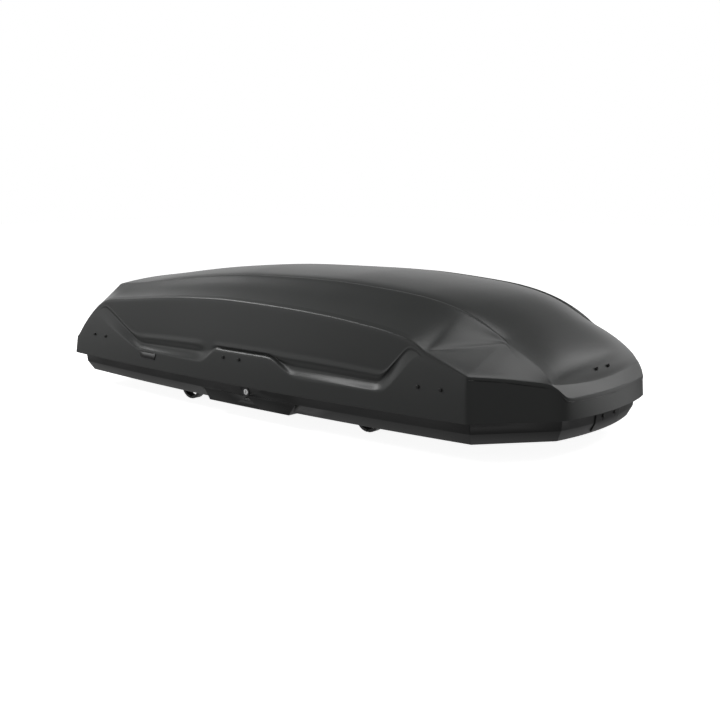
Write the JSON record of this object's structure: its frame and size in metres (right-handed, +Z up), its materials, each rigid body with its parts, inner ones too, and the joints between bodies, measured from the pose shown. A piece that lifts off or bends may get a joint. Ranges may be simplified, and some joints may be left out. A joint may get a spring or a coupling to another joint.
{
  "type": "roof cargo box",
  "caption": "Hard-shell roof cargo box with a wedge nose, sculpted sides, a lid that opens on either side, lid lifters, locks and clamps for roof bars.",
  "frame": {"origin": "midway between the four roof-bar clamps, on the plane of the roof bars' tops", "axes": "+X forward to the nose, +Y to the left side of the car, +Z up"},
  "size_m": [1.9, 0.8554, 0.4358],
  "materials": {
    "lid_plastic": "fine-grained black ABS",
    "base_plastic": "moulded black ABS",
    "part_plastic": "glass-filled black nylon",
    "knob_plastic": "soft-touch dark grey",
    "steel": "zinc-plated",
    "black_steel": "black e-coat",
    "spring_steel": "oiled spring steel",
    "rubber": "matte",
    "lock_metal": "satin nickel",
    "badge_plastic": "piano black",
    "rivet_black": "black"
  },
  "bodies": {
    "base": {"base_tray": "base_plastic", "right_hinge_housings": "part_plastic", "left_hinge_housings": "part_plastic", "right_lock_case": "part_plastic", "left_lock_case": "part_plastic", "right_floor_rail": "steel", "left_floor_rail": "steel", "nose_panel": "base_plastic", "nose_strike": "part_plastic", "nose_base_rivets": "rivet_black", "rear_lifter_bracket": "black_steel", "front_lifter_bracket": "black_steel", "lifter_springs": "spring_steel", "jaw_pins": "steel", "bar_pads": "rubber", "rear_right_clamp_housing": "part_plastic", "rear_left_clamp_housing": "part_plastic", "front_right_clamp_housing": "part_plastic", "front_left_clamp_housing": "part_plastic"},
    "left_knuckles": {"left_hinge_barrels": "part_plastic"},
    "lid": {"lid_shell": "lid_plastic", "lid_stiffener_right": "part_plastic", "lid_stiffener_left": "part_plastic", "right_lid_hinge_lugs": "steel", "left_lid_hinge_lugs": "steel", "lid_rivets": "rivet_black", "nose_tongue": "steel", "rear_lifter_track": "steel", "front_lifter_track": "steel", "right_badge_plate": "badge_plastic", "left_badge_plate": "badge_plastic"},
    "right_knuckles": {"right_hinge_barrels": "part_plastic"},
    "right_lock_slider": {"right_lock_bar": "steel"},
    "right_lock_plug": {"right_lock_cylinder": "lock_metal"},
    "left_lock_slider": {"left_lock_bar": "steel"},
    "left_lock_plug": {"left_lock_cylinder": "lock_metal"},
    "rear_right_lifter": {"rear_right_lifter_arm": "black_steel", "rear_right_lifter_roller": "part_plastic"},
    "rear_right_behind_jaw": {"rear_right_jaw_behind": "black_steel"},
    "rear_right_ahead_jaw": {"rear_right_jaw_ahead": "black_steel"},
    "rear_right_torque_knob": {"rear_right_clamp_knob": "knob_plastic", "rear_right_clamp_screw": "steel"},
    "rear_left_lifter": {"rear_left_lifter_arm": "black_steel", "rear_left_lifter_roller": "part_plastic"},
    "rear_left_behind_jaw": {"rear_left_jaw_behind": "black_steel"},
    "rear_left_ahead_jaw": {"rear_left_jaw_ahead": "black_steel"},
    "rear_left_torque_knob": {"rear_left_clamp_knob": "knob_plastic", "rear_left_clamp_screw": "steel"},
    "front_right_lifter": {"front_right_lifter_arm": "black_steel", "front_right_lifter_roller": "part_plastic"},
    "front_right_behind_jaw": {"front_right_jaw_behind": "black_steel"},
    "front_right_ahead_jaw": {"front_right_jaw_ahead": "black_steel"},
    "front_right_torque_knob": {"front_right_clamp_knob": "knob_plastic", "front_right_clamp_screw": "steel"},
    "front_left_lifter": {"front_left_lifter_arm": "black_steel", "front_left_lifter_roller": "part_plastic"},
    "front_left_behind_jaw": {"front_left_jaw_behind": "black_steel"},
    "front_left_ahead_jaw": {"front_left_jaw_ahead": "black_steel"},
    "front_left_torque_knob": {"front_left_clamp_knob": "knob_plastic", "front_left_clamp_screw": "steel"}
  },
  "joints": [
    {"name": "open_right_side", "type": "hinge", "parent": "base", "child": "left_knuckles", "pos_m": [0, 0.31, 0.056], "axis": [-1, 0, 0], "range_deg": [0, 40]},
    {"name": "open_left_side", "type": "hinge", "parent": "left_knuckles", "child": "lid", "pos_m": [0, -0.31, 0.056], "axis": [1, 0, 0], "range_deg": [0, 40]},
    {"name": "right_knuckle_turn", "type": "hinge", "parent": "base", "child": "right_knuckles", "pos_m": [0, -0.31, 0.056], "axis": [1, 0, 0], "range_deg": [0, 40]},
    {"name": "right_lock_slide", "type": "slide", "parent": "base", "child": "right_lock_slider", "axis": [1, 0, 0], "range_m": [0, 0.023]},
    {"name": "right_key_turn", "type": "hinge", "parent": "base", "child": "right_lock_plug", "pos_m": [0.0085, -0.395, 0.045], "axis": [0, -1, 0], "range_deg": [0, 91]},
    {"name": "left_lock_slide", "type": "slide", "parent": "base", "child": "left_lock_slider", "axis": [1, 0, 0], "range_m": [0, 0.023]},
    {"name": "left_key_turn", "type": "hinge", "parent": "base", "child": "left_lock_plug", "pos_m": [0.0085, 0.395, 0.045], "axis": [0, -1, 0], "range_deg": [0, 91]},
    {"name": "rear_right_arm_lift", "type": "hinge", "parent": "base", "child": "rear_right_lifter", "pos_m": [-0.8235, 0, 0.056], "axis": [-1, 0, 0], "range_deg": [0, 80]},
    {"name": "rear_right_clamp_release", "type": "hinge", "parent": "base", "child": "rear_right_ahead_jaw", "pos_m": [-0.3355, -0.262, 0.022], "axis": [0, -1, 0], "range_deg": [0, 28]},
    {"name": "rear_right_behind_jaw_swing", "type": "hinge", "parent": "base", "child": "rear_right_behind_jaw", "pos_m": [-0.4135, -0.262, 0.022], "axis": [0, 1, 0], "range_deg": [0, 28]},
    {"name": "rear_right_knob_turn", "type": "hinge", "parent": "base", "child": "rear_right_torque_knob", "pos_m": [-0.3745, -0.262, 0.066], "axis": [0, 0, 1], "range_deg": [0, 720]},
    {"name": "rear_left_arm_lift", "type": "hinge", "parent": "base", "child": "rear_left_lifter", "pos_m": [-0.8235, 0, 0.056], "axis": [1, 0, 0], "range_deg": [0, 80]},
    {"name": "rear_left_clamp_release", "type": "hinge", "parent": "base", "child": "rear_left_ahead_jaw", "pos_m": [-0.3355, 0.262, 0.022], "axis": [0, -1, 0], "range_deg": [0, 28]},
    {"name": "rear_left_behind_jaw_swing", "type": "hinge", "parent": "base", "child": "rear_left_behind_jaw", "pos_m": [-0.4135, 0.262, 0.022], "axis": [0, 1, 0], "range_deg": [0, 28]},
    {"name": "rear_left_knob_turn", "type": "hinge", "parent": "base", "child": "rear_left_torque_knob", "pos_m": [-0.3745, 0.262, 0.066], "axis": [0, 0, 1], "range_deg": [0, 720]},
    {"name": "front_right_arm_lift", "type": "hinge", "parent": "base", "child": "front_right_lifter", "pos_m": [0.7595, 0, 0.056], "axis": [-1, 0, 0], "range_deg": [0, 80]},
    {"name": "front_right_clamp_release", "type": "hinge", "parent": "base", "child": "front_right_ahead_jaw", "pos_m": [0.4135, -0.262, 0.022], "axis": [0, -1, 0], "range_deg": [0, 28]},
    {"name": "front_right_behind_jaw_swing", "type": "hinge", "parent": "base", "child": "front_right_behind_jaw", "pos_m": [0.3355, -0.262, 0.022], "axis": [0, 1, 0], "range_deg": [0, 28]},
    {"name": "front_right_knob_turn", "type": "hinge", "parent": "base", "child": "front_right_torque_knob", "pos_m": [0.3745, -0.262, 0.066], "axis": [0, 0, 1], "range_deg": [0, 720]},
    {"name": "front_left_arm_lift", "type": "hinge", "parent": "base", "child": "front_left_lifter", "pos_m": [0.7595, 0, 0.056], "axis": [1, 0, 0], "range_deg": [0, 80]},
    {"name": "front_left_clamp_release", "type": "hinge", "parent": "base", "child": "front_left_ahead_jaw", "pos_m": [0.4135, 0.262, 0.022], "axis": [0, -1, 0], "range_deg": [0, 28]},
    {"name": "front_left_behind_jaw_swing", "type": "hinge", "parent": "base", "child": "front_left_behind_jaw", "pos_m": [0.3355, 0.262, 0.022], "axis": [0, 1, 0], "range_deg": [0, 28]},
    {"name": "front_left_knob_turn", "type": "hinge", "parent": "base", "child": "front_left_torque_knob", "pos_m": [0.3745, 0.262, 0.066], "axis": [0, 0, 1], "range_deg": [0, 720]}
  ],
  "couplings": [
    {"joint": "right_knuckle_turn", "follows": "open_left_side", "ratio": 1},
    {"joint": "right_key_turn", "follows": "right_lock_slide", "rad_per_m": 68.296},
    {"joint": "left_key_turn", "follows": "left_lock_slide", "rad_per_m": 68.296},
    {"joint": "rear_right_arm_lift", "follows": "open_right_side", "ratio": 2},
    {"joint": "rear_right_behind_jaw_swing", "follows": "rear_right_clamp_release", "ratio": 1},
    {"joint": "rear_right_knob_turn", "follows": "rear_right_clamp_release", "ratio": 25.713},
    {"joint": "rear_left_arm_lift", "follows": "open_left_side", "ratio": 2},
    {"joint": "rear_left_behind_jaw_swing", "follows": "rear_left_clamp_release", "ratio": 1},
    {"joint": "rear_left_knob_turn", "follows": "rear_left_clamp_release", "ratio": 25.713},
    {"joint": "front_right_arm_lift", "follows": "open_right_side", "ratio": 2},
    {"joint": "front_right_behind_jaw_swing", "follows": "front_right_clamp_release", "ratio": 1},
    {"joint": "front_right_knob_turn", "follows": "front_right_clamp_release", "ratio": 25.713},
    {"joint": "front_left_arm_lift", "follows": "open_left_side", "ratio": 2},
    {"joint": "front_left_behind_jaw_swing", "follows": "front_left_clamp_release", "ratio": 1},
    {"joint": "front_left_knob_turn", "follows": "front_left_clamp_release", "ratio": 25.713}
  ]
}
